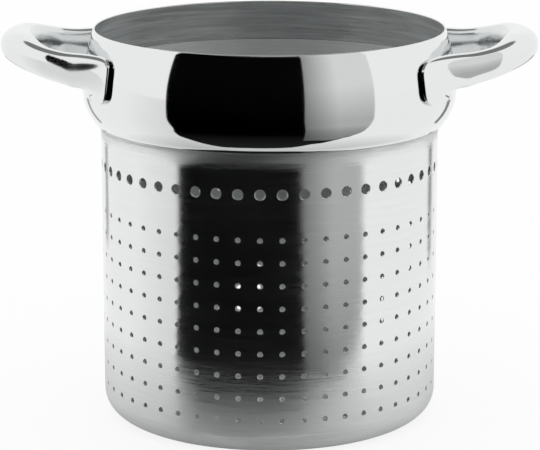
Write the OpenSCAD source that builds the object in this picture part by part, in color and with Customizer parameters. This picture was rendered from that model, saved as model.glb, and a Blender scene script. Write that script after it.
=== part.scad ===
// Strainer insert of a pasta pot: a perforated steel basket hung from a polished
// collar that rests on the pot's rim, and lifted by two cast loop handles.
// Millimetres, +Z up, origin at the centre of the basket's underside.

/* [Basket] */
// Outer radius of the perforated wall
basket_radius = 105; // [90:1:115]
// Thickness of the basket's sheet
basket_sheet = 0.8; // [0.6:0.1:1.2]
// Outer radius of the corner between wall and floor
floor_corner = 15; // [10:1:19]
// Height of the basket's mouth above the collar's lower edge
mouth_height = 32; // [26:0.5:40]
// How far the wall flares out below the collar
neck_flare = 1.2; // [0.5:0.1:2]
// Height over which the wall flares out
neck_height = 12; // [6:0.5:16]
// Radius of the bend where the wall turns out over the collar's flange
neck_bend = 1; // [0.8:0.1:1.5]

/* [Collar] */
// Height of the rim above the underside
total_height = 245; // [235:1:300]
// Height of the collar from its lower edge to the rim
collar_height = 58; // [52:0.5:66]
// Thickness of the collar's sheet
collar_sheet = 1.2; // [0.8:0.1:1.6]
// How far the collar swells out beyond the basket wall
collar_swell = 11; // [9:0.5:15]
// Height of the widest line above the collar's lower edge
belly_height = 19.5; // [15:0.5:22]
// Width of the flat seat that rests on the pot's rim
seat_width = 0.8; // [0.5:0.1:2]
// How far the rim stands out beyond the basket wall
rim_offset = 4.2; // [3:0.2:7]

/* [Holes] */
// Holes in each ring round the wall
columns = 50; // [24:1:60]
// Turn of the columns of holes about the axis, in degrees
column_turn = -3.05; // [-3.6:0.05:3.6]
// Diameter of the small holes
small_hole = 3.1; // [2:0.1:5]
// Diameter of the holes in the upper ring
large_hole = 6.3; // [4:0.1:8]
// Depth of the ring of large holes below the collar
large_row_drop = 25.5; // [22:0.5:32]
// Depth of the first ring of small holes below the large ones
row_gap = 27.6; // [20:0.5:32]
// Rings of small holes in the wall
small_rows = 9; // [3:1:11]
// Height of the lowest ring above the underside
lowest_row = 22.5; // [20:0.5:28]
// Rings of small holes in the floor, round the central one
floor_rings = 6; // [2:1:7]
// Distance of the outermost floor ring from the corner
floor_margin = 8; // [4:1:16]

/* [Handles] */
// How far a handle reaches out from the widest part of the collar
handle_reach = 50.5; // [48:0.5:70]
// Outer radius of the grip, seen from above
grip_radius = 51; // [40:1:58]
// Angle by which each leg closes in towards the grip, in degrees
leg_toe = 24; // [12:1:32]
// Width of a leg, seen from above
leg_width = 10.5; // [8:0.5:13]
// Width of the grip, seen from above
grip_width = 22; // [16:1:28]
// Thickness of the grip at its tip
grip_height = 19; // [9:0.5:22]
// Height of the grip's top below the rim
grip_drop = 1; // [0:0.5:10]
// Height of a foot on the collar
foot_height = 28.5; // [24:0.5:30]
// Height of a leg's underside above the foot's lower edge
leg_lift = 9; // [5:0.5:12]
// Height of a leg's top above the foot's upper edge
leg_rise = 1.3; // [0:0.1:3]
// Flare of the left feet beyond the outside of the legs, along the collar
left_flare = 8.5; // [3:0.5:18]
// Flare of the right feet beyond the outside of the legs, along the collar
right_flare = 17.5; // [3:0.5:24]
// Flare of every foot inside the loop, along the collar
inner_flare = 5; // [3:0.5:8]
// Thickness of a foot at its edge
foot_edge = 2; // [1.5:0.1:3.5]
// Depth of the ridge left along the inside of the loop
ridge = 0.8; // [0.3:0.1:1.5]

/* [Welds] */
// Gap between a foot and the collar, bridged by the weld studs
weld_gap = 1.3; // [0.4:0.1:1.5]
// Diameter of a weld stud
stud_diameter = 6; // [4:0.5:8]
// Distance between the two studs of a foot
stud_pitch = 13; // [9:0.5:14]

/* [Hidden] */

polished = [0.86, 0.87, 0.88];
brushed = [0.64, 0.65, 0.66];
bead = [0.55, 0.55, 0.56];

// The basket's flared mouth lies just inside the collar.
nest_gap = 0.1;
collar_base = total_height - collar_height;
belly_z = collar_base + belly_height;
belly_r = basket_radius + collar_swell;
rim_r = basket_radius + rim_offset;
rim_rise = total_height - collar_sheet / 2 - belly_z;
crown_radius = (pow(rim_rise, 2) + pow(belly_r - rim_r, 2)) / (2 * (belly_r - rim_r));

// Below the collar the wall flares along an arc, to this angle where the bend begins.
neck_lean = 2 * atan(neck_flare / neck_height);
neck_radius = neck_height / sin(neck_lean);
hole_r = basket_radius + neck_flare + neck_bend * cos(neck_lean);

// The skirt is the arc from the widest line down to the bend outside the flat seat.
seat_r = hole_r + seat_width;
skirt_rise = belly_height - collar_sheet;
skirt_inset = belly_r - seat_r - collar_sheet;
skirt_radius = (pow(skirt_rise, 2) + pow(skirt_inset, 2)) / (2 * skirt_inset);

// A point of the collar's section: the angle is zero on the widest line, positive
// up the crown and negative down the skirt, and depth is measured inwards.
function arc_radius(angle) = angle > 0 ? crown_radius : skirt_radius;
function collar_point(angle, depth) =
    let (r = arc_radius(angle))
    [belly_r - r + (r - depth) * cos(angle), belly_z + (r - depth) * sin(angle)];
// The angle at which a surface at this depth stands at height z.
function collar_angle(z, depth) =
    let (r = z > belly_z ? crown_radius : skirt_radius)
    asin((z - belly_z) / (r - depth));
// Outer radius of the collar at height z.
function collar_r(z) = collar_point(collar_angle(z, 0), 0)[0];
function steps(from, to, count) = [for (i = [0:count]) from + (to - from) * i / count];

rim_angle = collar_angle(total_height - collar_sheet / 2, collar_sheet / 2);
skirt_angle = collar_angle(collar_base + collar_sheet, 0);
flange_angle = collar_angle(collar_base + collar_sheet, collar_sheet);

module rim_collar() {
    rim = collar_point(rim_angle, collar_sheet / 2);
    color(polished) rotate_extrude($fn = 180) polygon(concat(
        [[hole_r, collar_base], [seat_r, collar_base]],
        [for (a = steps(skirt_angle, 0, 10)) collar_point(a, 0)],
        [for (a = steps(rim_angle / 12, rim_angle, 11)) collar_point(a, 0)],
        [for (a = [50:40:170]) rim + collar_sheet / 2 * [cos(a), sin(a)]],
        [for (a = steps(rim_angle, rim_angle / 12, 11)) collar_point(a, collar_sheet)],
        [for (a = steps(0, flange_angle, 10)) collar_point(a, collar_sheet)],
        [[hole_r, collar_base + collar_sheet]]
    ));
}

// The wall bends out to a ledge on the flange, and flares from there up to the mouth.
nest = collar_sheet + nest_gap;
ledge_z = collar_base + nest;
mouth_z = collar_base + mouth_height;
bend_z = ledge_z - neck_bend;
neck_base = bend_z + neck_bend * sin(neck_lean) - neck_height;
function bend_point(a, bend) = [hole_r - bend * cos(a), bend_z + bend * sin(a)];
function flare_point(a, depth) =
    [basket_radius + neck_radius - (neck_radius + depth) * cos(a), neck_base + (neck_radius + depth) * sin(a)];
module basket_shell() {
    lip_deep = nest + basket_sheet;
    mouth_angle = collar_angle(mouth_z, nest);
    rotate_extrude($fn = 180) polygon(concat(
        [[0, 0]],
        [for (a = [0:10:90]) [basket_radius - floor_corner + floor_corner * sin(a),
                              floor_corner - floor_corner * cos(a)]],
        [for (a = steps(0, neck_lean, 4)) flare_point(a, 0)],
        [for (a = steps(neck_lean, 90, 5)) bend_point(a, neck_bend)],
        [for (a = steps(collar_angle(ledge_z, nest), 0, 8)) collar_point(a, nest)],
        [for (a = steps(mouth_angle / 6, mouth_angle, 5)) collar_point(a, nest)],
        [for (a = steps(mouth_angle, mouth_angle / 6, 5)) collar_point(a, lip_deep)],
        [for (a = steps(0, collar_angle(ledge_z + basket_sheet, lip_deep), 8))
            collar_point(a, lip_deep)],
        [for (a = steps(90, neck_lean, 5)) bend_point(a, neck_bend + basket_sheet)],
        [for (a = steps(neck_lean, 0, 4)) flare_point(a, basket_sheet)],
        [for (a = [90:-10:0]) [basket_radius - floor_corner + (floor_corner - basket_sheet) * sin(a),
                               floor_corner - (floor_corner - basket_sheet) * cos(a)]],
        [[0, basket_sheet]]
    ));
}

// A short cutter that passes only through the wall at this height.
module wall_hole(z, diameter) {
    translate([0, 0, z]) rotate([90, 0, 0])
        translate([0, 0, basket_radius - 2 * basket_sheet])
            cylinder(h = 3 * basket_sheet, d = diameter, $fn = 24);
}

module perforated_basket() {
    large_z = collar_base - large_row_drop;
    top_row = large_z - row_gap;
    row_pitch = (top_row - lowest_row) / (small_rows - 1);
    ring_pitch = (basket_radius - floor_corner - floor_margin) / floor_rings;
    color(brushed) difference() {
        basket_shell();
        for (k = [0:columns - 1]) rotate([0, 0, column_turn + 360 / columns * k]) {
            wall_hole(large_z, large_hole);
            for (i = [0:small_rows - 1]) wall_hole(lowest_row + i * row_pitch, small_hole);
        }
        for (k = [0:floor_rings], i = [0:max(6 * k - 1, 0)])
            rotate([0, 0, 360 * i / max(6 * k, 1)]) translate([k * ring_pitch, 0, -basket_sheet])
                cylinder(h = 3 * basket_sheet, d = small_hole, $fn = 24);
    }
}

// The seam weld fills the groove between the bend of the basket and the collar's flange.
module seam_weld() {
    color(bead) rotate_extrude($fn = 180) polygon(concat(
        [for (a = steps(neck_lean, 90, 5)) if (a < 50) bend_point(a, neck_bend)],
        [[hole_r, collar_base + collar_sheet / 2], [hole_r, collar_base]]
    ));
}

// Handles. Each loop is drawn for the +X side, as rings of points round its section.
// Along the loop, the outer edge is an arc about grip_x and then a straight leg.
tip_x = belly_r + handle_reach;
grip_x = tip_x - grip_radius;
turn = 90 - leg_toe;
grip_top = total_height - grip_drop;
foot_base = belly_z;
foot_top = foot_base + foot_height;
leg_out = [cos(turn), sin(turn), 0];
leg_in = [-sin(turn), cos(turn), 0];
leg_start = [grip_x, 0, 0] + grip_radius * leg_out;
stand_off = weld_gap + foot_edge;
foot_mid = (foot_base + foot_top) / 2;

// Distance along a line from point p in direction d to the vertical cylinder r, or to
// where the line passes it closest.
function reach_to(p, d, r) =
    let (b = p[0] * d[0] + p[1] * d[1], c = p[0] * p[0] + p[1] * p[1] - r * r)
    -b - sqrt(max(0, b * b - c));
leg_mid = leg_start - leg_width / 2 * leg_out;
leg_length = reach_to(leg_mid, leg_in, collar_r(foot_mid) + stand_off);
flare_length = 15;
plain_leg = leg_length - flare_length;

// Each ring: share 0 is the tip and 1 the end of the plain leg.
function ease(x) = x * x * (3 - 2 * x);
function top_z(share) = grip_top - (grip_top - foot_top - leg_rise) * ease(max(0, (share - 0.3) / 0.7));
grip_low = grip_top - grip_height;
function low_z(share) = grip_low - (grip_low - foot_base - leg_lift) * pow(share, 2);
function loop_width(along) = leg_width + (grip_width - leg_width) * cos(90 * min(along, 1));

ring_points = 24;
squareness = 3.4;
crown = 2.3;
function corner_power(x, power) = sign(x) * pow(abs(x), 2 / power);
// The section is a rounded block, with a ridge along the inside of the loop. The outer
// half of the loop is more crowned than its inner half and the feet.
function section_point(j, outer_power) =
    let (a = 360 * j / ring_points, power = cos(a) > 0 ? outer_power : squareness)
    [corner_power(cos(a), power), corner_power(sin(a), power)];
function ridged(s) = s[0] < -0.5 ? max(0, 1 - abs(s[1]) / 0.8) * ridge : 0;

function loop_ring(angle, length, share) =
    let (out = [cos(angle), sin(angle), 0],
         edge = [grip_x, 0, 0] + grip_radius * out + length * leg_in,
         width = loop_width(angle / turn),
         mid = edge - width / 2 * out,
         top = top_z(share), low = low_z(share))
    [for (j = [0:ring_points - 1])
        let (s = section_point(j, crown))
        mid + (s[0] * width / 2 - ridged(s)) * out + [0, 0, (top + low) / 2 + s[1] * (top - low) / 2]];

// A point on a foot, at a height and at a distance off the collar.
foot_hit = leg_mid + leg_length * leg_in;
foot_azimuth = atan2(foot_hit[1], foot_hit[0]);
function foot_point(s, flare, off, inset) =
    let (z = foot_mid + s[1] * (foot_height / 2 - inset),
         r = collar_r(z) + off,
         wide = leg_width / 2 + (s[0] > 0 ? flare : inner_flare) - inset,
         azimuth = foot_azimuth + s[0] * wide / r * 180 / PI)
    [r * cos(azimuth), r * sin(azimuth), z];
function bezier(a, b, c, t) = (1 - t) * (1 - t) * a + 2 * t * (1 - t) * b + t * t * c;

leg_end = loop_ring(turn, plain_leg, 1);
function flare_ring(t, flare) =
    [for (j = [0:ring_points - 1])
        let (s = section_point(j, squareness), p = leg_end[j],
             toe = p + reach_to(p, leg_in, collar_r(p[2]) + stand_off) * leg_in)
        bezier(p, toe, foot_point(s, flare, stand_off - 0.3, 0.5), t)];
function foot_ring(flare, off, inset) =
    [for (j = [0:ring_points - 1]) foot_point(section_point(j, squareness), flare, off, inset)];

arc_steps = 8;
leg_steps = 3;
flare_steps = 5;
arc_length = turn * PI / 180 * grip_radius;
half_length = arc_length + plain_leg;
function half_loop(flare) = concat(
    [for (i = [0:arc_steps]) loop_ring(turn * i / arc_steps, 0, arc_length / half_length * i / arc_steps)],
    [for (i = [1:leg_steps]) loop_ring(turn, plain_leg * i / leg_steps,
        (arc_length + plain_leg * i / leg_steps) / half_length)],
    [for (i = [1:flare_steps]) flare_ring(i / flare_steps, flare)],
    [foot_ring(flare, stand_off - 1, 0), foot_ring(flare, -collar_sheet, 0)]
);

module loop_solid(flare) {
    half = half_loop(flare);
    loop_rings = concat(
        [for (i = [len(half) - 1:-1:1]) [for (p = half[i]) [p[0], -p[1], p[2]]]],
        half
    );
    rings = len(loop_rings);
    n = ring_points;
    share = [for (i = [1:n]) 1 / n];
    points = concat(
        [for (ring = loop_rings, p = ring) p],
        [share * loop_rings[0], share * loop_rings[rings - 1]]
    );
    sides = [for (i = [0:rings - 2], j = [0:n - 1])
        let (a = i * n + j, b = i * n + (j + 1) % n)
        each [[a, b, b + n], [a, b + n, a + n]]];
    caps = [for (j = [0:n - 1])
        let (k = (j + 1) % n, end = (rings - 1) * n)
        each [[j, rings * n, k], [end + j, end + k, rings * n + 1]]];
    polyhedron(points, concat(sides, caps), convexity = 6);
}

// Everything inside the collar's outer surface, grown by a gap.
module collar_zone(gap) {
    rotate_extrude($fn = 180) polygon(concat(
        [[0, foot_base - 10]],
        [for (z = steps(foot_base - 10, foot_top + 6, 15)) [collar_r(z) + gap, z]],
        [[0, foot_top + 6]]
    ));
}

module loop_handle(flare) {
    color(polished) difference() {
        loop_solid(flare);
        collar_zone(weld_gap);
    }
}
module handle_right() loop_handle(right_flare);
module handle_left() mirror([1, 0, 0]) loop_handle(left_flare);

// Two weld studs under each foot, one above the other.
module foot_studs(azimuth) {
    color(bead) difference() {
        intersection() {
            collar_zone(weld_gap);
            for (up = [-1, 1])
                rotate([0, 0, azimuth]) translate([basket_radius, 0, foot_mid + up * stud_pitch / 2])
                    rotate([0, 90, 0]) cylinder(h = 3 * collar_swell, d = stud_diameter, $fn = 24);
        }
        collar_zone(0);
    }
}
module studs_back_right() foot_studs(foot_azimuth);
module studs_front_right() foot_studs(-foot_azimuth);
module studs_back_left() foot_studs(180 - foot_azimuth);
module studs_front_left() foot_studs(180 + foot_azimuth);

perforated_basket();
rim_collar();
seam_weld();
handle_left();
handle_right();
studs_front_left();
studs_back_left();
studs_front_right();
studs_back_right();
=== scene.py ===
import math

import bmesh
import bpy
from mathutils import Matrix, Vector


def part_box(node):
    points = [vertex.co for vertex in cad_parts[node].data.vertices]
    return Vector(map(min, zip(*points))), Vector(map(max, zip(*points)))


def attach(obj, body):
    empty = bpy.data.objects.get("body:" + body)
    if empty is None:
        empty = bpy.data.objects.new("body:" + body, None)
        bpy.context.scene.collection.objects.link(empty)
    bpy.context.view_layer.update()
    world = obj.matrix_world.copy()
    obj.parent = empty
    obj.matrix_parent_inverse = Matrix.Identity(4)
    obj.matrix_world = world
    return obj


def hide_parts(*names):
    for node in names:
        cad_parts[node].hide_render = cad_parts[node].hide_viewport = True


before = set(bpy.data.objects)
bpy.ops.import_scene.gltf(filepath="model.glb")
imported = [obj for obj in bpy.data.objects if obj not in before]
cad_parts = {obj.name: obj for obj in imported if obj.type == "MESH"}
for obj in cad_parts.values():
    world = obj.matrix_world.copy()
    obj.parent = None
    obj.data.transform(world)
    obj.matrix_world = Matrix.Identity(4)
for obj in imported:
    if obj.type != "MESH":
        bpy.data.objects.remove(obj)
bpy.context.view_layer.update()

MM = 0.001


# Rim collar. A ring of stainless sheet, pressed to a swelling section, with a flat
# flange below that rests on the pot's rim. It is polished to a mirror outside and
# keeps the fine spun grain of the press work inside.
basket_radius = 105.0
collar_sheet = 1.2
collar_swell = 11.0    # widest line, out from the basket's wall
belly_height = 19.5    # widest line, over the flange
rim_offset = 4.2       # rim, out from the basket's wall
rim_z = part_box("rim_collar")[1].z / MM
collar_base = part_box("rim_collar")[0].z / MM
belly_z = collar_base + belly_height
belly_r = basket_radius + collar_swell
rim_rise = rim_z - collar_sheet / 2 - belly_z
rim_inset = collar_swell - rim_offset
crown_radius = (rim_rise ** 2 + rim_inset ** 2) / (2 * rim_inset)

# The basket's neck flares a little below the flange, which leaves a narrow seat there.
neck_bend = 1.0
neck_flare = 1.2
neck_height = 12.0
seat_width = 0.8
neck_lean = 2 * math.atan(neck_flare / neck_height)
neck_radius = neck_height / math.sin(neck_lean)
flange_r = basket_radius + neck_flare + neck_bend * math.cos(neck_lean)
seat_r = flange_r + seat_width
skirt_rise = belly_height - collar_sheet
skirt_inset = belly_r - seat_r - collar_sheet
skirt_radius = (skirt_rise ** 2 + skirt_inset ** 2) / (2 * skirt_inset)


def collar_point(angle, depth):
    """Radius and height of the collar's section. The angle is zero on the widest line."""
    r = crown_radius if angle > 0 else skirt_radius
    return (belly_r - r + (r - depth) * math.cos(angle), belly_z + (r - depth) * math.sin(angle))


def collar_angle(z, depth):
    r = crown_radius if z > belly_z else skirt_radius
    return math.asin((z - belly_z) / (r - depth))


def collar_r(z):
    return collar_point(collar_angle(z, 0), 0)[0]


def steps(start, end, count):
    return [start + (end - start) * i / count for i in range(count + 1)]


def arc(centre, radius, start, end, count):
    """Points of an arc in the section plane, its angles in degrees."""
    return [(centre[0] + radius * math.cos(math.radians(a)), centre[1] + radius * math.sin(math.radians(a)))
            for a in steps(start, end, count)]


def spun(profile, count, turn=0.0, closed=False):
    """A section of (radius, height) points in mm, spun about the axis as a bmesh in metres."""
    mesh = bmesh.new()
    rings = []
    for r, z in profile:
        angles = [math.radians(turn) + 2 * math.pi * i / count for i in range(count)]
        rings.append([mesh.verts.new((r * math.sin(a) * MM, -r * math.cos(a) * MM, z * MM)) for a in angles])
    pairs = list(zip(rings, rings[1:] + rings[:1])) if closed else list(zip(rings, rings[1:]))
    for low, high in pairs:
        for i in range(count):
            k = (i + 1) % count
            mesh.faces.new((low[i], low[k], high[k], high[i]))
    return mesh


def piece(name, mesh, materials, slot, *nodes, sharp=35.0):
    """Turns a bmesh into a finished piece of the object, smooth but for its real edges."""
    same_point = 0.004 * MM
    bmesh.ops.remove_doubles(mesh, verts=mesh.verts, dist=same_point)
    bmesh.ops.recalc_face_normals(mesh, faces=mesh.faces)
    data = bpy.data.meshes.new(name)
    mesh.to_mesh(data)
    mesh.free()
    data.shade_smooth()
    data.set_sharp_from_angle(angle=math.radians(sharp))
    for material in materials:
        data.materials.append(material)
    made = bpy.data.objects.new(name, data)
    bpy.context.scene.collection.objects.link(made)
    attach(made, "root")
    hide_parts(*nodes)


def colour(hex_code):
    """An sRGB hex value as the linear colour that a shader wants."""
    parts = [int(hex_code[i:i + 2], 16) / 255 for i in (0, 2, 4)]
    return tuple(c / 12.92 if c <= 0.04045 else ((c + 0.055) / 1.055) ** 2.4 for c in parts) + (1.0,)


def add(tree, kind, inputs, **settings):
    """Adds a node. An input is a value, a socket, or a node, whose first output then feeds it."""
    node = tree.nodes.new(kind)
    for name, value in settings.items():
        setattr(node, name, value)
    for name, value in inputs.items():
        if isinstance(value, bpy.types.Node):
            value = value.outputs[0]
        if isinstance(value, bpy.types.NodeSocket):
            tree.links.new(value, node.inputs[name])
        else:
            node.inputs[name].default_value = value
    return node


def material(name):
    """An empty node material, with its tree and the socket of its output."""
    made = bpy.data.materials.new(name)
    made.use_nodes = True
    made.node_tree.nodes.clear()
    output = made.node_tree.nodes.new("ShaderNodeOutputMaterial")
    return made, made.node_tree, output.inputs["Surface"]


# Mirror-polished 18/10 stainless steel: sharp reflections, very slightly unsteady where
# the buffing wheel has followed the sheet, with a faint haze of hairlines. The hairlines
# are drawn coarser than real ones, which are under 0.05 mm apart.
buffing_wave = 45.45
buffing_depth = 0.4
hairline_length = 16.67
hairline_spacing = 0.5556
mirror_steel, tree, surface = material("mirror polished stainless")
place = add(tree, "ShaderNodeTexCoord", {}).outputs["Object"]
swell = add(tree, "ShaderNodeTexNoise", {"Vector": place, "Scale": 1 / (buffing_wave * MM), "Detail": 1.0})
wobble = add(tree, "ShaderNodeBump", {"Height": swell, "Strength": 0.03, "Distance": buffing_depth * MM})
across = 1 / (hairline_length * MM)
hair_place = add(tree, "ShaderNodeMapping", {
    "Vector": place, "Scale": (across, across, 1 / (hairline_spacing * MM))})
hair = add(tree, "ShaderNodeTexNoise", {"Vector": hair_place, "Scale": 1.0, "Detail": 3.0})
haze = add(tree, "ShaderNodeMapRange", {"Value": hair, "To Min": 0.03, "To Max": 0.075})
steel = add(tree, "ShaderNodeBsdfPrincipled", {
    "Base Color": colour("ECEEEE"), "Metallic": 1.0, "Roughness": haze, "Normal": wobble})
tree.links.new(steel.outputs["BSDF"], surface)

# Brushed stainless steel: grit drawn round the basket leaves fine level scratches,
# so that reflections smear up and down but keep fairly crisp upright edges. Real
# scratches are about 0.1 mm apart and are drawn coarser, so that the render shows them.
scratch_spacing = 0.6
scratch_depth = 0.05
scratch_length = 28.0
streak_spacing = 2.0
streak_length = 45.45
stain_size = 38.46
# Dark colour that the streaks mix in: a faint random tone outside, and painted shade inside the mouth.
streak_and_shade_steel = "303234"


def brushed(name, base, rough_low, rough_high, depth, dull=(), grain=0.03):
    """Brushed steel. Each dull band runs from a height in mm, where it is faint, to another,
    where it adds its whole roughness. The grain is how much the streaks darken the steel's colour;
    a strong grain is painted shade as well as streaks."""
    made, tree, surface = material(name)
    place = add(tree, "ShaderNodeTexCoord", {}).outputs["Object"]
    across = 1 / (scratch_length * MM)
    grit_place = add(tree, "ShaderNodeMapping", {
        "Vector": place, "Scale": (across, across, 1 / (scratch_spacing * MM))})
    grit = add(tree, "ShaderNodeTexNoise", {
        "Vector": grit_place, "Scale": 1.0, "Detail": 4.0, "Roughness": 0.65})
    stain = add(tree, "ShaderNodeTexNoise", {"Vector": place, "Scale": 1 / (stain_size * MM), "Detail": 5.0})
    patches = add(tree, "ShaderNodeMapRange", {
        "Value": stain, "From Min": 0.35, "From Max": 0.7, "To Min": 0.0, "To Max": 0.03})
    lines = add(tree, "ShaderNodeMapRange", {
        "Value": grit, "From Min": 0.3, "From Max": 0.7, "To Min": rough_low, "To Max": rough_high})
    rough = add(tree, "ShaderNodeMath", {0: lines, 1: patches}, operation="ADD")
    up = add(tree, "ShaderNodeSeparateXYZ", {"Vector": place}).outputs["Z"]
    for start, end, extra in dull:
        rise = add(tree, "ShaderNodeMapRange", {
            "Value": up, "From Min": start * MM, "From Max": end * MM, "To Min": 0.0, "To Max": extra})
        uneven = add(tree, "ShaderNodeMath", {0: rise, 1: grit}, operation="MULTIPLY")
        rough = add(tree, "ShaderNodeMath", {0: rough, 1: uneven}, operation="ADD")
    scratches = add(tree, "ShaderNodeBump", {
        "Height": grit, "Strength": depth, "Distance": scratch_depth * MM})
    along = 1 / (streak_length * MM)
    streak_place = add(tree, "ShaderNodeMapping", {
        "Vector": place, "Scale": (along, along, 1 / (streak_spacing * MM))})
    streak = add(tree, "ShaderNodeTexNoise", {
        "Vector": streak_place, "Scale": 1.0, "Detail": 4.0, "Roughness": 0.6})
    # The streaks darken the colour: random tone, and painted shade where the grain is strong.
    streak_and_shade = add(tree, "ShaderNodeMapRange", {
        "Value": streak, "From Min": 0.35, "From Max": 0.65, "To Min": grain, "To Max": 0.0})
    tint = add(tree, "ShaderNodeMix", {
        "Factor": streak_and_shade, 6: colour(base), 7: colour(streak_and_shade_steel)}, data_type="RGBA")
    round_axis = add(tree, "ShaderNodeTangent", {}, direction_type="RADIAL", axis="Z")
    steel = add(tree, "ShaderNodeBsdfPrincipled", {
        "Base Color": tint.outputs[2], "Metallic": 1.0, "Roughness": rough,
        "Anisotropic": 0.75, "Anisotropic Rotation": 0.25, "Normal": scratches, "Tangent": round_axis})
    tree.links.new(steel.outputs["BSDF"], surface)
    return made


# Spun stainless steel inside the mouth: duller, with streaks that the tool has left.
# Its colour is darkened strongly in the streaks, which is painted shade of the inside as well as streaks.
spun_steel = brushed("spun grain inside", "ECEEEE", 0.24, 0.5, 0.9, grain=0.3)

collar_turns = 320
skirt_facets = 14
crown_facets = 28
rim_facets = 8
skirt_start = collar_angle(collar_base + collar_sheet, 0)
flange_start = collar_angle(collar_base + collar_sheet, collar_sheet)
rim_angle = collar_angle(rim_z - collar_sheet / 2, collar_sheet / 2)
outside = [collar_point(a, 0)
           for a in steps(skirt_start, 0, skirt_facets) + steps(0, rim_angle, crown_facets)[1:]]
inside = [collar_point(a, collar_sheet)
          for a in steps(rim_angle, 0, crown_facets) + steps(0, flange_start, skirt_facets)[1:]]
rim_mid = collar_point(rim_angle, collar_sheet / 2)
rim_tilt = math.degrees(rim_angle)
rim_round = arc(rim_mid, collar_sheet / 2, rim_tilt, rim_tilt + 180, rim_facets)[1:-1]

# One point rounds the bend from the seat to the skirt, in shares of the sheet.
seat_bend = [(seat_r + 0.75 * collar_sheet, collar_base + 0.22 * collar_sheet)]
flange = [(flange_r, collar_base + collar_sheet), (flange_r, collar_base), (seat_r, collar_base)]
collar_mesh = spun(outside + rim_round + inside + flange + seat_bend, collar_turns, closed=True)
collar_mesh.faces.ensure_lookup_table()
first_inside = len(outside) + len(rim_round)
for band in range(first_inside, first_inside + len(inside)):
    for i in range(collar_turns):
        collar_mesh.faces[band * collar_turns + i].material_index = 1
piece("collar", collar_mesh, [mirror_steel, spun_steel], "polished_collar", "rim_collar")


# Perforated basket. One deep-drawn cup of thin stainless sheet, punched with rings of
# holes in its wall and floor and then brushed. Its mouth is flared over the collar's
# flange and lies against the inside of the collar, where its edge shows as a line.
basket_sheet = 0.8
floor_corner = 15.0
mouth_height = 32.0    # over the collar's flange
nest_gap = 0.1         # between the collar and the basket's mouth
columns = 50
column_turn = -3.05    # degrees
small_hole = 3.1
large_hole = 6.3
large_drop = 25.5      # row of large holes, below the collar
small_drop = 27.6      # top row of small holes, below the large ones
lowest_row = 22.5
small_rows = 9
large_z = collar_base - large_drop
top_row = large_z - small_drop
row_pitch = (top_row - lowest_row) / (small_rows - 1)
floor_rings = 6
floor_margin = 8.0
flat_radius = basket_radius - floor_corner
hole_bevel = 0.2
hole_land = 0.5        # flat ring that keeps the shading level round a hole

# The holes' sides match the four steps of wall between two columns.
hole_sides = 16
quarter = hole_sides // 4
steps_round = 4 * columns
column_pitch = 2 * math.pi * basket_radius / columns

# The brushing is dullest just under the collar, where the wheel can't reach, and
# towards the floor's corner.
neck_dulling = (collar_base - 12, collar_base, 1.3)
foot_dulling = (62, 0, 1.05)
satin_steel = brushed(
    "brushed stainless", "EDEFEF", 0.09, 0.18, 0.6, dull=(neck_dulling, foot_dulling))

# Cut edge of the sheet at the mouth: dull, and darkened as painted shade for the narrow gap above the edge.
shaded_edge_steel, tree, surface = material("cut sheet edge")
steel = add(tree, "ShaderNodeBsdfPrincipled", {
    "Base Color": colour("55585A"), "Metallic": 1.0, "Roughness": 0.45})
tree.links.new(steel.outputs["BSDF"], surface)


def ramp(i):
    """One coordinate, from -1 to 1, of a walk round a square in as many steps as a hole has sides."""
    return max(-1.0, min(1.0, 2 - abs((i + 2 * quarter) % hole_sides - 2 * quarter) / (quarter / 2)))


def hole_ring(radius, depth):
    angles = [2 * math.pi * i / hole_sides for i in range(hole_sides)]
    return [(radius * math.cos(a), radius * math.sin(a), -depth) for a in angles]


def cell(name, hole, width=None, height=None):
    """A hole through the sheet, lying flat: its bevelled wall and, if asked, the plate round it."""
    r = hole / 2
    rings = [hole_ring(r + hole_bevel, 0), hole_ring(r, hole_bevel),
             hole_ring(r, basket_sheet - hole_bevel), hole_ring(r + hole_bevel, basket_sheet)]
    if width:
        edge = [(ramp(i) * width / 2, ramp(i - quarter) * height / 2) for i in range(hole_sides)]
        top = [[(x, y, 0) for x, y in edge], hole_ring(r + hole_bevel + hole_land, 0)]
        rings = top + rings + [[(x, y, -basket_sheet) for x, y in edge]]
    points = [tuple(v * MM for v in p) for ring in rings for p in ring]
    faces = [(j * hole_sides + i, j * hole_sides + (i + 1) % hole_sides,
              (j + 1) * hole_sides + (i + 1) % hole_sides, (j + 1) * hole_sides + i)
             for j in range(len(rings) - 1) for i in range(hole_sides)]
    data = bpy.data.meshes.new(name)
    data.from_pydata(points, [], faces)
    made = bpy.data.objects.new(name, data)
    bpy.context.scene.collection.objects.link(made)
    return made


def new_tree(name, sockets):
    tree = bpy.data.node_groups.new(name, "GeometryNodeTree")
    for label, kind in sockets.items():
        tree.interface.new_socket(name=label, in_out="INPUT", socket_type="NodeSocket" + kind)
    tree.interface.new_socket(name="Geometry", in_out="OUTPUT", socket_type="NodeSocketGeometry")
    return tree, tree.nodes.new("NodeGroupInput").outputs


def grown(tree, values):
    """Runs a geometry tree with these inputs and returns its result as a plain mesh."""
    holder = bpy.data.objects.new(tree.name, bpy.data.meshes.new(tree.name))
    bpy.context.scene.collection.objects.link(holder)
    modifier = holder.modifiers.new(tree.name, "NODES")
    modifier.node_group = tree
    for item in tree.interface.items_tree:
        if item.in_out == "INPUT":
            modifier[item.identifier] = values[item.name]
    holder.update_tag()
    view = bpy.context.evaluated_depsgraph_get()
    result = bpy.data.meshes.new_from_object(holder.evaluated_get(view))
    holder.modifiers.remove(modifier)
    bpy.data.objects.remove(holder)
    return result


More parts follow.
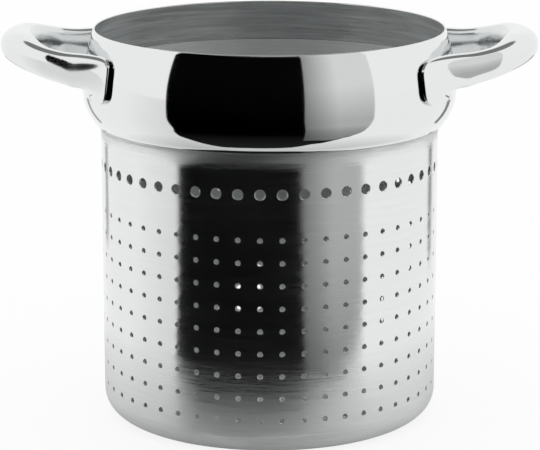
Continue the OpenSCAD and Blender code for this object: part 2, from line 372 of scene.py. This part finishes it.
# The wall: flat cells in a grid, then wrapped round the basket's axis.
wall_tree, given = new_tree("perforated wall", {
    "Cell": "Object", "Columns": "Int", "Rows": "Int", "Column Pitch": "Float", "Row Pitch": "Float",
    "First Row": "Float", "Radius": "Float", "Turn": "Float", "Material": "Material"})
column_gaps = add(wall_tree, "ShaderNodeMath", {0: given["Columns"], 1: 1.0}, operation="SUBTRACT")
row_gaps = add(wall_tree, "ShaderNodeMath", {0: given["Rows"], 1: 1.0}, operation="SUBTRACT")
wide = add(wall_tree, "ShaderNodeMath", {0: given["Column Pitch"], 1: column_gaps}, operation="MULTIPLY")
tall = add(wall_tree, "ShaderNodeMath", {0: given["Row Pitch"], 1: row_gaps}, operation="MULTIPLY")
grid = add(wall_tree, "GeometryNodeMeshGrid", {
    "Size X": wide, "Size Y": tall, "Vertices X": given["Columns"], "Vertices Y": given["Rows"]})
shape = add(wall_tree, "GeometryNodeObjectInfo", {"Object": given["Cell"]})
cells = add(wall_tree, "GeometryNodeInstanceOnPoints", {
    "Points": grid, "Instance": shape.outputs["Geometry"]})
real = add(wall_tree, "GeometryNodeRealizeInstances", {"Geometry": cells})
position = add(wall_tree, "GeometryNodeInputPosition", {})
spot = add(wall_tree, "ShaderNodeSeparateXYZ", {"Vector": position}).outputs
along = add(wall_tree, "ShaderNodeMath", {0: spot["X"], 1: given["Radius"]}, operation="DIVIDE")
azimuth = add(wall_tree, "ShaderNodeMath", {0: along, 1: given["Turn"]}, operation="ADD")
sine = add(wall_tree, "ShaderNodeMath", {0: azimuth}, operation="SINE")
cosine = add(wall_tree, "ShaderNodeMath", {0: azimuth}, operation="COSINE")
forward = add(wall_tree, "ShaderNodeMath", {0: cosine, 1: -1.0}, operation="MULTIPLY")
reach = add(wall_tree, "ShaderNodeMath", {0: given["Radius"], 1: spot["Z"]}, operation="ADD")
lifted = add(wall_tree, "ShaderNodeMath", {0: spot["Y"], 1: given["First Row"]}, operation="ADD")
half_tall = add(wall_tree, "ShaderNodeMath", {0: tall, 1: 2.0}, operation="DIVIDE")
wrapped = add(wall_tree, "ShaderNodeCombineXYZ", {
    "X": add(wall_tree, "ShaderNodeMath", {0: reach, 1: sine}, operation="MULTIPLY"),
    "Y": add(wall_tree, "ShaderNodeMath", {0: reach, 1: forward}, operation="MULTIPLY"),
    "Z": add(wall_tree, "ShaderNodeMath", {0: lifted, 1: half_tall}, operation="ADD")})
bent = add(wall_tree, "GeometryNodeSetPosition", {"Geometry": real, "Position": wrapped})
finish = add(wall_tree, "GeometryNodeSetMaterial", {"Geometry": bent, "Material": given["Material"]})
add(wall_tree, "NodeGroupOutput", {0: finish})

# The floor: hole walls on rings of six more each time, between two filled plates. Up to
# the end of ring n there are 1 + 3n(n + 1) holes, so a hole's ring comes from its index.
floor_tree, given = new_tree("perforated floor", {
    "Cell": "Object", "Count": "Int", "Ring Pitch": "Float", "Hole Radius": "Float", "Hole Sides": "Int",
    "Edge Radius": "Float", "Edge Steps": "Int", "Turn": "Float", "Sheet": "Float", "Material": "Material"})
index = add(floor_tree, "GeometryNodeInputIndex", {})
square = add(floor_tree, "ShaderNodeMath", {0: index, 1: 12.0, 2: 9.0}, operation="MULTIPLY_ADD")
root = add(floor_tree, "ShaderNodeMath", {0: square}, operation="SQRT")
above = add(floor_tree, "ShaderNodeMath", {0: root, 1: 3.0}, operation="SUBTRACT")
sixth = add(floor_tree, "ShaderNodeMath", {0: above, 1: 6.0}, operation="DIVIDE")
ring = add(floor_tree, "ShaderNodeMath", {0: sixth}, operation="CEIL")
triple = add(floor_tree, "ShaderNodeMath", {0: ring, 1: 3.0}, operation="MULTIPLY")
ring_inside = add(floor_tree, "ShaderNodeMath", {0: ring, 1: 1.0}, operation="SUBTRACT")
before = add(floor_tree, "ShaderNodeMath", {0: triple, 1: ring_inside}, operation="MULTIPLY")
off_centre = add(floor_tree, "ShaderNodeMath", {0: index, 1: 1.0}, operation="SUBTRACT")
in_ring = add(floor_tree, "ShaderNodeMath", {0: off_centre, 1: before}, operation="SUBTRACT")
ring_count = add(floor_tree, "ShaderNodeMath", {0: ring, 1: 6.0}, operation="MULTIPLY")
share = add(floor_tree, "ShaderNodeMath", {0: in_ring, 1: ring_count}, operation="DIVIDE")
angle = add(floor_tree, "ShaderNodeMath", {0: share, 1: 2 * math.pi}, operation="MULTIPLY")
radius = add(floor_tree, "ShaderNodeMath", {0: ring, 1: given["Ring Pitch"]}, operation="MULTIPLY")
cosine = add(floor_tree, "ShaderNodeMath", {0: angle}, operation="COSINE")
sine = add(floor_tree, "ShaderNodeMath", {0: angle}, operation="SINE")
spots = add(floor_tree, "ShaderNodeCombineXYZ", {
    "X": add(floor_tree, "ShaderNodeMath", {0: radius, 1: cosine}, operation="MULTIPLY"),
    "Y": add(floor_tree, "ShaderNodeMath", {0: radius, 1: sine}, operation="MULTIPLY")})
points = add(floor_tree, "GeometryNodePoints", {"Count": given["Count"], "Position": spots})
shape = add(floor_tree, "GeometryNodeObjectInfo", {"Object": given["Cell"]})
upper = add(floor_tree, "ShaderNodeCombineXYZ", {"Z": given["Sheet"]})
sleeves = add(floor_tree, "GeometryNodeInstanceOnPoints", {
    "Points": points, "Instance": shape.outputs["Geometry"]})
lifted = add(floor_tree, "GeometryNodeTransform", {"Geometry": sleeves, "Translation": upper})
circle = add(floor_tree, "GeometryNodeCurvePrimitiveCircle", {
    "Resolution": given["Hole Sides"], "Radius": given["Hole Radius"]})
hole_rims = add(floor_tree, "GeometryNodeInstanceOnPoints", {"Points": points, "Instance": circle})
edge = add(floor_tree, "GeometryNodeCurvePrimitiveCircle", {
    "Resolution": given["Edge Steps"], "Radius": given["Edge Radius"]})
edge_turn = add(floor_tree, "ShaderNodeCombineXYZ", {"Z": given["Turn"]})
turned = add(floor_tree, "GeometryNodeTransform", {"Geometry": edge, "Rotation": edge_turn})
outlines = add(floor_tree, "GeometryNodeJoinGeometry", {})
for outline in (hole_rims, turned):
    floor_tree.links.new(outline.outputs[0], outlines.inputs[0])
flat = add(floor_tree, "GeometryNodeRealizeInstances", {"Geometry": outlines})
plate = add(floor_tree, "GeometryNodeFillCurve", {"Curve": flat})
top_plate = add(floor_tree, "GeometryNodeTransform", {"Geometry": plate, "Translation": upper})
both = add(floor_tree, "GeometryNodeJoinGeometry", {})
for part in (lifted, plate, top_plate):
    floor_tree.links.new(part.outputs[0], both.inputs[0])
real = add(floor_tree, "GeometryNodeRealizeInstances", {"Geometry": both})
finish = add(floor_tree, "GeometryNodeSetMaterial", {"Geometry": real, "Material": given["Material"]})
add(floor_tree, "NodeGroupOutput", {0: finish})

basket_mesh = bmesh.new()
half_column = math.pi / columns
turn = math.radians(column_turn) + (half_column if columns % 2 == 0 else 0.0)
for label, hole, first, rows in (("small hole", small_hole, lowest_row, small_rows),
                                 ("large hole", large_hole, large_z, 1)):
    flat_cell = cell(label, hole, column_pitch, row_pitch)
    basket_mesh.from_mesh(grown(wall_tree, {
        "Cell": flat_cell, "Columns": columns, "Rows": rows, "Column Pitch": column_pitch * MM,
        "Row Pitch": row_pitch * MM, "First Row": first * MM, "Radius": basket_radius * MM,
        "Turn": turn, "Material": satin_steel}))
    bpy.data.objects.remove(flat_cell)
sleeve = cell("floor hole", small_hole)
basket_mesh.from_mesh(grown(floor_tree, {
    "Cell": sleeve, "Count": 1 + 3 * floor_rings * (floor_rings + 1),
    "Ring Pitch": (flat_radius - floor_margin) / floor_rings * MM,
    "Hole Radius": (small_hole / 2 + hole_bevel) * MM, "Hole Sides": hole_sides,
    "Edge Radius": flat_radius * MM, "Edge Steps": steps_round, "Turn": math.radians(column_turn),
    "Sheet": basket_sheet * MM, "Material": satin_steel}))
bpy.data.objects.remove(sleeve)

# The plain bands, each with its outer and inner face.
corner_facets = 12
flare_facets = 10
bend_facets = 6
nest_facets = 12
mouth_facets = 8
nest = collar_sheet + nest_gap
deep = nest + basket_sheet
ledge_z = collar_base + nest
mouth_z = collar_base + mouth_height
mouth_angle = collar_angle(mouth_z, nest)
inner_r = basket_radius - basket_sheet
corner_mid = (flat_radius, floor_corner)
half_row = row_pitch / 2
outer_corner = arc(corner_mid, floor_corner, -90, 0, corner_facets) + [(basket_radius, lowest_row - half_row)]
inner_corner = ([(inner_r, lowest_row - half_row)]
                + arc(corner_mid, floor_corner - basket_sheet, 0, -90, corner_facets))
belts = [[(r, top_row + half_row), (r, large_z - half_row)] for r in (basket_radius, inner_r)]
bend_mid = (flange_r, ledge_z - neck_bend)
flare_mid = (basket_radius + neck_radius, bend_mid[1] + neck_bend * math.sin(neck_lean) - neck_height)
lean = math.degrees(neck_lean)
outer_flare = (
    [(basket_radius, large_z + half_row)]
    + arc(flare_mid, neck_radius, 180, 180 - lean, flare_facets)
    + arc(bend_mid, neck_bend, 180 - lean, 90, bend_facets)[1:]
    + [collar_point(a, nest) for a in steps(collar_angle(ledge_z, nest), 0, nest_facets)]
    + [collar_point(a, nest) for a in steps(0, mouth_angle, mouth_facets)[1:]])
inner_flare = (
    [collar_point(a, deep) for a in steps(mouth_angle, 0, mouth_facets)]
    + [collar_point(a, deep) for a in steps(0, collar_angle(ledge_z + basket_sheet, deep), nest_facets)[1:]]
    + arc(bend_mid, neck_bend + basket_sheet, 90, 180 - lean, bend_facets)
    + arc(flare_mid, neck_radius + basket_sheet, 180 - lean, 180, flare_facets)[1:]
    + [(inner_r, large_z + half_row)])
for profile in [outer_corner, inner_corner] + belts + [outer_flare + inner_flare]:
    band = spun(profile, steps_round, column_turn)
    data = bpy.data.meshes.new("band")
    band.to_mesh(data)
    band.free()
    basket_mesh.from_mesh(data)
    bpy.data.meshes.remove(data)
join_reach = 0.02      # the wall, the floor and the bands meet within this
cut_depth = 0.5
bmesh.ops.remove_doubles(basket_mesh, verts=basket_mesh.verts, dist=join_reach * MM)
# Up-facing faces of the mouth's cut edge take the edge's painted shade.
for face in basket_mesh.faces:
    at_mouth = face.calc_center_median().z > (mouth_z - cut_depth) * MM
    face.material_index = 1 if at_mouth and abs(face.normal.z) > 0.7 else 0
piece("basket", basket_mesh, [satin_steel, shaded_edge_steel], "brushed_basket", "perforated_basket", sharp=30.0)


# Seam weld. A thin ring of weld metal that closes the corner between the basket's
# wall and the collar's flange, dressed flush and left dull, with the file's marks.
ripple_size = 1.111
ripple_depth = 0.1
weld_steel, tree, surface = material("dressed weld metal")
place = add(tree, "ShaderNodeTexCoord", {}).outputs["Object"]
ripple = add(tree, "ShaderNodeTexNoise", {"Vector": place, "Scale": 1 / (ripple_size * MM), "Detail": 3.0})
relief = add(tree, "ShaderNodeBump", {"Height": ripple, "Strength": 0.4, "Distance": ripple_depth * MM})
dull = add(tree, "ShaderNodeMapRange", {"Value": ripple, "To Min": 0.3, "To Max": 0.5})
steel = add(tree, "ShaderNodeBsdfPrincipled", {
    "Base Color": colour("C4C5C4"), "Metallic": 1.0, "Roughness": dull, "Normal": relief})
tree.links.new(steel.outputs["BSDF"], surface)

seam_profile = (
    arc(bend_mid, neck_bend, 180 - lean, 135, 2)
    + [(flange_r, collar_base + collar_sheet / 2), (flange_r, collar_base)])
piece("seam", spun(seam_profile, collar_turns, closed=True), [weld_steel], "weld_bead", "seam_weld")


# Loop handles. Each is one casting of stainless steel: a broad grip that thins to two
# upright legs, whose feet flare out over the collar. They are mirror polished, but for
# the inside of the loop, where the buffing wheel doesn't reach the mould's joint.
mould_grain = 2.5
cast_steel, tree, surface = material("satin cast stainless")
place = add(tree, "ShaderNodeTexCoord", {}).outputs["Object"]
grain = add(tree, "ShaderNodeTexNoise", {"Vector": place, "Scale": 1 / (mould_grain * MM), "Detail": 3.0})
soft = add(tree, "ShaderNodeMapRange", {"Value": grain, "To Min": 0.16, "To Max": 0.26})
steel = add(tree, "ShaderNodeBsdfPrincipled", {
    "Base Color": colour("E2E4E4"), "Metallic": 1.0, "Roughness": soft})
tree.links.new(steel.outputs["BSDF"], surface)

handle_reach = 50.5       # out from the collar's widest line
grip_radius = 51.0        # of the loop's outer side
leg_toe = 24.0            # degrees by which each leg spreads towards the collar
leg_width = 10.5
grip_width = 22.0
grip_height = 19.0
grip_drop = 1.0           # of the grip's top below the rim
foot_height = 28.5
leg_lift = 9.0            # leg's underside over the foot's, where the flare starts
leg_rise = 1.3            # leg's top over the foot's, there too
flare_length = 15.0
inner_flare_width = 5.0
left_flare = 8.5
right_flare = 17.5
foot_edge = 2.0
weld_gap = 1.3
ridge = 0.8               # mould's joint, inside the loop
ridge_spread = 0.8        # share of the grip's half height that it takes
crown = 2.3               # how square the section's outer half is: 2 is an ellipse
squareness = 3.4
drop_start = 0.3          # share of the way down a leg at which its top starts to fall
ring_points = 48
grip_steps = 24
leg_steps = 6
flare_steps = 14

grip_x = belly_r + handle_reach - grip_radius
bend_angle = math.radians(90 - leg_toe)
grip_top = rim_z - grip_drop
grip_low = grip_top - grip_height
foot_base = belly_z
foot_top = foot_base + foot_height
foot_mid = (foot_base + foot_top) / 2
stand_off = weld_gap + foot_edge
leg_out = (math.cos(bend_angle), math.sin(bend_angle))
leg_in = (-math.sin(bend_angle), math.cos(bend_angle))

# The foot's rounded edge: distances off the collar, each with the inset of the outline.
edge_rows = [(stand_off - 0.3, 0.5), (stand_off - 0.55, 0.15), (stand_off - 1.0, 0.0),
             (weld_gap + 0.4, 0.0), (weld_gap + 0.1, 0.1), (weld_gap, 0.4)]


def reach_to(point, r):
    """Distance from a point, along the leg, to where it meets the upright cylinder r or passes closest."""
    b = point[0] * leg_in[0] + point[1] * leg_in[1]
    c = point[0] ** 2 + point[1] ** 2 - r * r
    return -b - math.sqrt(max(0.0, b * b - c))


leg_mid = [(grip_x if k == 0 else 0) + (grip_radius - leg_width / 2) * leg_out[k] for k in (0, 1)]
leg_length = reach_to(leg_mid, collar_r(foot_mid) + stand_off)
plain_leg = leg_length - flare_length
arc_length = bend_angle * grip_radius
foot_hit = [leg_mid[k] + leg_length * leg_in[k] for k in (0, 1)]
foot_azimuth = math.atan2(foot_hit[1], foot_hit[0])


def ease(x):
    return x * x * (3 - 2 * x)


def section(j, outer=squareness):
    """A rounded block, across and up from -1 to 1. Its outer half can be less square."""
    a = 2 * math.pi * j / ring_points
    c, s = math.cos(a), math.sin(a)
    power = 2 / (outer if c > 0 else squareness)
    return (math.copysign(abs(c) ** power, c), math.copysign(abs(s) ** power, s))


def loop_ring(angle, length):
    """A ring of points round the loop: angle goes round the grip, length down the leg."""
    share = (angle * grip_radius + length) / (arc_length + plain_leg)
    out = (math.cos(angle), math.sin(angle))
    width = leg_width + (grip_width - leg_width) * math.cos(math.pi / 2 * angle / bend_angle)
    mid = [(grip_x if k == 0 else 0) + (grip_radius - width / 2) * out[k] + length * leg_in[k]
           for k in (0, 1)]
    fall = ease(max(0.0, (share - drop_start) / (1 - drop_start)))
    top = grip_top - (grip_top - foot_top - leg_rise) * fall
    low = grip_low - (grip_low - foot_base - leg_lift) * share ** 2
    ring = []
    for j in range(ring_points):
        across, up = section(j, crown)
        inward = max(0.0, 1 - abs(up) / ridge_spread) * ridge if across < -0.5 else 0.0
        side = across * width / 2 - inward
        ring.append((mid[0] + side * out[0], mid[1] + side * out[1], (top + low) / 2 + up * (top - low) / 2))
    return ring


def foot_ring(flare, off, inset, shrink=1.0):
    """A ring of points on a foot, which follows the collar at a distance off it."""
    ring = []
    for j in range(ring_points):
        across, up = section(j)
        z = foot_mid + up * (foot_height / 2 - inset) * shrink
        r = collar_r(z) + off
        wide = leg_width / 2 + (flare if across > 0 else inner_flare_width) - inset
        azimuth = foot_azimuth + across * wide * shrink / r
        ring.append((r * math.cos(azimuth), r * math.sin(azimuth), z))
    return ring


def flare_ring(t, flare):
    """A ring between the leg's end and the foot's edge, on curves that leave along the leg."""
    ring = []
    for p, foot in zip(loop_ring(bend_angle, plain_leg), foot_ring(flare, *edge_rows[0])):
        along = reach_to(p, collar_r(p[2]) + stand_off)
        toe = (p[0] + along * leg_in[0], p[1] + along * leg_in[1], p[2])
        ring.append(tuple((1 - t) ** 2 * p[k] + 2 * t * (1 - t) * toe[k] + t * t * foot[k] for k in range(3)))
    return ring


def loop_handle(name, side, flare, node):
    half = [loop_ring(bend_angle * i / grip_steps, 0) for i in range(grip_steps + 1)]
    half += [loop_ring(bend_angle, plain_leg * i / leg_steps) for i in range(1, leg_steps + 1)]
    half += [flare_ring(i / flare_steps, flare) for i in range(1, flare_steps + 1)]
    half += [foot_ring(flare, off, inset) for off, inset in edge_rows[1:]]
    half += [foot_ring(flare, *edge_rows[-1], shrink) for shrink in (0.75, 0.5, 0.25, 0.02)]
    rings = [[(x, -y, z) for x, y, z in ring] for ring in half[:0:-1]] + half
    mesh = bmesh.new()
    rows = [[mesh.verts.new((side * x * MM, y * MM, z * MM)) for x, y, z in ring] for ring in rings]
    for first, second in zip(rows, rows[1:]):
        for j in range(ring_points):
            k = (j + 1) % ring_points
            face = mesh.faces.new((first[j], first[k], second[k], second[j]))
            from_inside = abs(j + 0.5 - ring_points / 2)
            face.material_index = 1 if from_inside < ring_points / 6 else 0
    mesh.faces.new(rows[0])
    mesh.faces.new(rows[-1])
    piece(name, mesh, [mirror_steel, cast_steel], "polished_handle", node, sharp=50.0)


loop_handle("loop_left", -1, left_flare, "handle_left")
loop_handle("loop_right", 1, right_flare, "handle_right")


# Weld studs. Two short studs under each foot, fused to the collar by a current, so
# that a thin gap is left round the foot. They keep the model's own shape.
for stud_node in ("studs_front_left", "studs_back_left", "studs_front_right", "studs_back_right"):
    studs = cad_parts[stud_node]
    studs.data.materials.clear()
    studs.data.materials.append(weld_steel)


# Studio. A white floor and white surroundings with a darker ceiling, a black and a grey
# card in front, and two narrow strips behind, at the sides. Cards and strips only show
# as reflections in the steel.
surround_level = 0.95
ceiling_level = 0.2
ceiling_start = math.sin(math.radians(50))
ceiling_full = math.sin(math.radians(54))
world = bpy.data.worlds.new("studio")
bpy.context.scene.world = world
world.use_nodes = True
tree = world.node_tree
tree.nodes.clear()
rays = add(tree, "ShaderNodeLightPath", {}).outputs
place = add(tree, "ShaderNodeTexCoord", {}).outputs["Generated"]
up = add(tree, "ShaderNodeSeparateXYZ", {"Vector": place}).outputs["Z"]
surround = add(tree, "ShaderNodeMapRange", {
    "Value": up, "From Min": ceiling_start, "From Max": ceiling_full,
    "To Min": surround_level, "To Max": ceiling_level})
shade = add(tree, "ShaderNodeMix", {
    "Factor": rays["Is Glossy Ray"], 2: 1.0, 3: surround}, data_type="FLOAT")
light = add(tree, "ShaderNodeBackground", {"Color": colour("FFFFFF"), "Strength": shade})
add(tree, "ShaderNodeOutputWorld", {"Surface": light})

# White paper, lit by the room. The camera sees it mostly as plain white, with the
# object's shadow. In the steel it glows with painted shade: greyer near the object, as a painted
# shadow of it, greyer to the left of it, and dark in a painted contact shadow under the corner.
floor_size = 8.0
floor_z = -0.0002
left_azimuth = 58
left_spread = 37
camera_share = 0.85
floor_white, tree, surface = material("white paper floor")
rays = add(tree, "ShaderNodeLightPath", {}).outputs
place = add(tree, "ShaderNodeTexCoord", {}).outputs["Object"]
away = add(tree, "ShaderNodeVectorMath", {0: place}, operation="LENGTH").outputs["Value"]
# Painted shadow of the object, as the steel shows it: greyer near it, and dark at the contact under the
# corner.
painted_shadow_grey = add(tree, "ShaderNodeMapRange", {
    "Value": away, "From Min": 0.11, "From Max": 0.28, "To Min": 0.57, "To Max": 0.94})
painted_contact_shadow = add(tree, "ShaderNodeMapRange", {
    "Value": away, "From Min": 0.092, "From Max": 0.112, "To Min": 0.2, "To Max": 1.0})
spot = add(tree, "ShaderNodeSeparateXYZ", {"Vector": place}).outputs
forward = add(tree, "ShaderNodeMath", {0: spot["Y"], 1: -1.0}, operation="MULTIPLY")
azimuth = add(tree, "ShaderNodeMath", {0: spot["X"], 1: forward}, operation="ARCTAN2")
from_left = add(tree, "ShaderNodeMath", {0: azimuth, 1: math.radians(left_azimuth)}, operation="ADD")
off_left = add(tree, "ShaderNodeMath", {0: from_left}, operation="ABSOLUTE")
left_grey = add(tree, "ShaderNodeMapRange", {
    "Value": off_left, "From Min": 0.0, "From Max": math.radians(left_spread),
    "To Min": 0.82, "To Max": 1.0})
base_level = add(tree, "ShaderNodeMath", {0: painted_shadow_grey, 1: painted_contact_shadow}, operation="MULTIPLY")
mirror_level = add(tree, "ShaderNodeMath", {0: base_level, 1: left_grey}, operation="MULTIPLY")
level = add(tree, "ShaderNodeMix", {
    "Factor": rays["Is Glossy Ray"], 2: 1.0, 3: mirror_level}, data_type="FLOAT")
seen = add(tree, "ShaderNodeMath", {0: rays["Is Camera Ray"], 1: camera_share}, operation="MULTIPLY")
share = add(tree, "ShaderNodeMath", {0: seen, 1: rays["Is Glossy Ray"]}, operation="MAXIMUM")
paper = add(tree, "ShaderNodeBsdfDiffuse", {"Color": colour("F9F9F9")})
glow = add(tree, "ShaderNodeEmission", {"Color": colour("FFFFFF"), "Strength": level})
blend = add(tree, "ShaderNodeMixShader", {0: share, 1: paper, 2: glow})
tree.links.new(blend.outputs[0], surface)
floor_data = bpy.data.meshes.new("floor")
floor_corners = [(x * floor_size, y * floor_size, floor_z) for x, y in ((-1, -1), (1, -1), (1, 1), (-1, 1))]
floor_data.from_pydata(floor_corners, [], [(0, 1, 2, 3)])
floor_data.materials.append(floor_white)
floor = bpy.data.objects.new("floor", floor_data)
bpy.context.scene.collection.objects.link(floor)

mirror_z = 0.22    # height in the steel from which the cards' elevations are measured


def card(name, near, ends, rise, levels, climb=(0.5, 0.7), edge_share=1.0, lift=0.001):
    """A card that lies on the floor and then stands up to an elevation in degrees. Its near edge
    is a list of (azimuth, metres), and it stands between two such ends. Its levels are those of
    the near edge, of the card and of its top, which it reaches between two sines of elevation.
    Its first 20 degrees of azimuth can start from a share of them."""
    near_level, level, top_level = levels
    paint, tree, surface = material(name)
    place = add(tree, "ShaderNodeTexCoord", {}).outputs["Object"]
    spot = add(tree, "ShaderNodeSeparateXYZ", {"Vector": place}).outputs
    away = add(tree, "ShaderNodeVectorMath", {0: place}, operation="LENGTH").outputs["Value"]
    start = min(r for a, r in near)
    low_tone = add(tree, "ShaderNodeMapRange", {
        "Value": away, "From Min": start, "From Max": start * 2.4, "To Min": near_level, "To Max": level})
    over = add(tree, "ShaderNodeMath", {0: spot["Z"], 1: mirror_z}, operation="SUBTRACT")
    elevation = add(tree, "ShaderNodeMath", {0: over, 1: away}, operation="DIVIDE")
    tone = add(tree, "ShaderNodeMapRange", {
        "Value": elevation, "From Min": climb[0], "From Max": climb[1],
        "To Min": low_tone, "To Max": top_level})
    forward = add(tree, "ShaderNodeMath", {0: spot["Y"], 1: -1.0}, operation="MULTIPLY")
    azimuth = add(tree, "ShaderNodeMath", {0: spot["X"], 1: forward}, operation="ARCTAN2")
    first = math.radians(ends[0][0])
    edge = add(tree, "ShaderNodeMapRange", {
        "Value": azimuth, "From Min": first, "From Max": first + math.radians(20),
        "To Min": edge_share, "To Max": 1.0})
    strength = add(tree, "ShaderNodeMath", {0: tone, 1: edge}, operation="MULTIPLY")
    shown = add(tree, "ShaderNodeEmission", {"Color": colour("FFFFFF"), "Strength": strength})
    tree.links.new(shown.outputs["Emission"], surface)
    near_row = sorted(near)
    count = len(near_row)
    shares = [(a - near_row[0][0]) / (near_row[-1][0] - near_row[0][0]) for a, r in near_row]
    far_row = [tuple(ends[0][k] + (ends[1][k] - ends[0][k]) * share for k in (0, 1)) for share in shares]
    rows = [[(a, r, lift) for a, r in near_row], [(a, r, lift) for a, r in far_row],
            [(a, r, mirror_z + r * math.tan(math.radians(rise))) for a, r in far_row]]
    points = [(r * math.sin(math.radians(a)), -r * math.cos(math.radians(a)), z)
              for row in rows for a, r, z in row]
    faces = [(j * count + i, j * count + i + 1, (j + 1) * count + i + 1, (j + 1) * count + i)
             for j in range(2) for i in range(count - 1)]
    data = bpy.data.meshes.new(name)
    data.from_pydata(points, [], faces)
    data.materials.append(paint)
    made = bpy.data.objects.new(name, data)
    bpy.context.scene.collection.objects.link(made)
    made.visible_camera = False
    made.visible_diffuse = False
    made.visible_shadow = False
    made.visible_transmission = False


black_edge = [(-57, 0.34), (-55.5, 0.275), (-51, 0.238), (-45, 0.195), (-39, 0.168), (-33, 0.153),
              (-27, 0.15), (-15, 0.147), (3, 0.147), (9, 0.149), (15, 0.154), (21, 0.168), (27, 0.19),
              (33, 0.2), (39, 0.228), (45, 0.262), (50, 0.284)]
grey_edge = [(20, 0.24), (27, 0.24), (33, 0.235), (39, 0.24), (45, 0.268), (50, 0.29), (53.5, 0.32),
             (56, 0.36)]
card("black card", black_edge, ((-56.6, 0.437), (20, 1.2)), 39, (0.015, 0.0, 0.04), climb=(0.45, 0.55))
# The grey card's levels are painted light and shade: darker at its near edge, close to the object, and
# lighter towards its top.
card("grey card", grey_edge, ((20, 1.19), (63, 1.19)), 44, (0.22, 0.46, 0.74), climb=(-0.19, 0.15),
     edge_share=0.4, lift=0.003)
card("gap left", [(-137, 0.39), (-131, 0.39)], ((-137, 0.4), (-131, 0.4)), -12, (0.4, 0.4, 0.4), lift=0.03)
card("gap right", [(125, 0.39), (132, 0.39)], ((125, 0.4), (132, 0.4)), -12, (0.25, 0.25, 0.25), lift=0.02)


# Camera. A little above the rim and straight in front, solved from the ellipses of the
# rim, of the rows of holes and of the floor's edge.
camera_data = bpy.data.cameras.new("camera")
camera = bpy.data.objects.new("camera", camera_data)
bpy.context.scene.collection.objects.link(camera)
camera.location = (0.0, -1.5352, 0.4870)
camera.rotation_euler = (math.radians(90 - 13.5), 0.0, 0.0)
camera_data.sensor_width = 36.0
camera_data.lens = 166.8
camera_data.shift_x = 0.0009
bpy.context.scene.camera = camera
bpy.context.scene.view_settings.view_transform = "Standard"
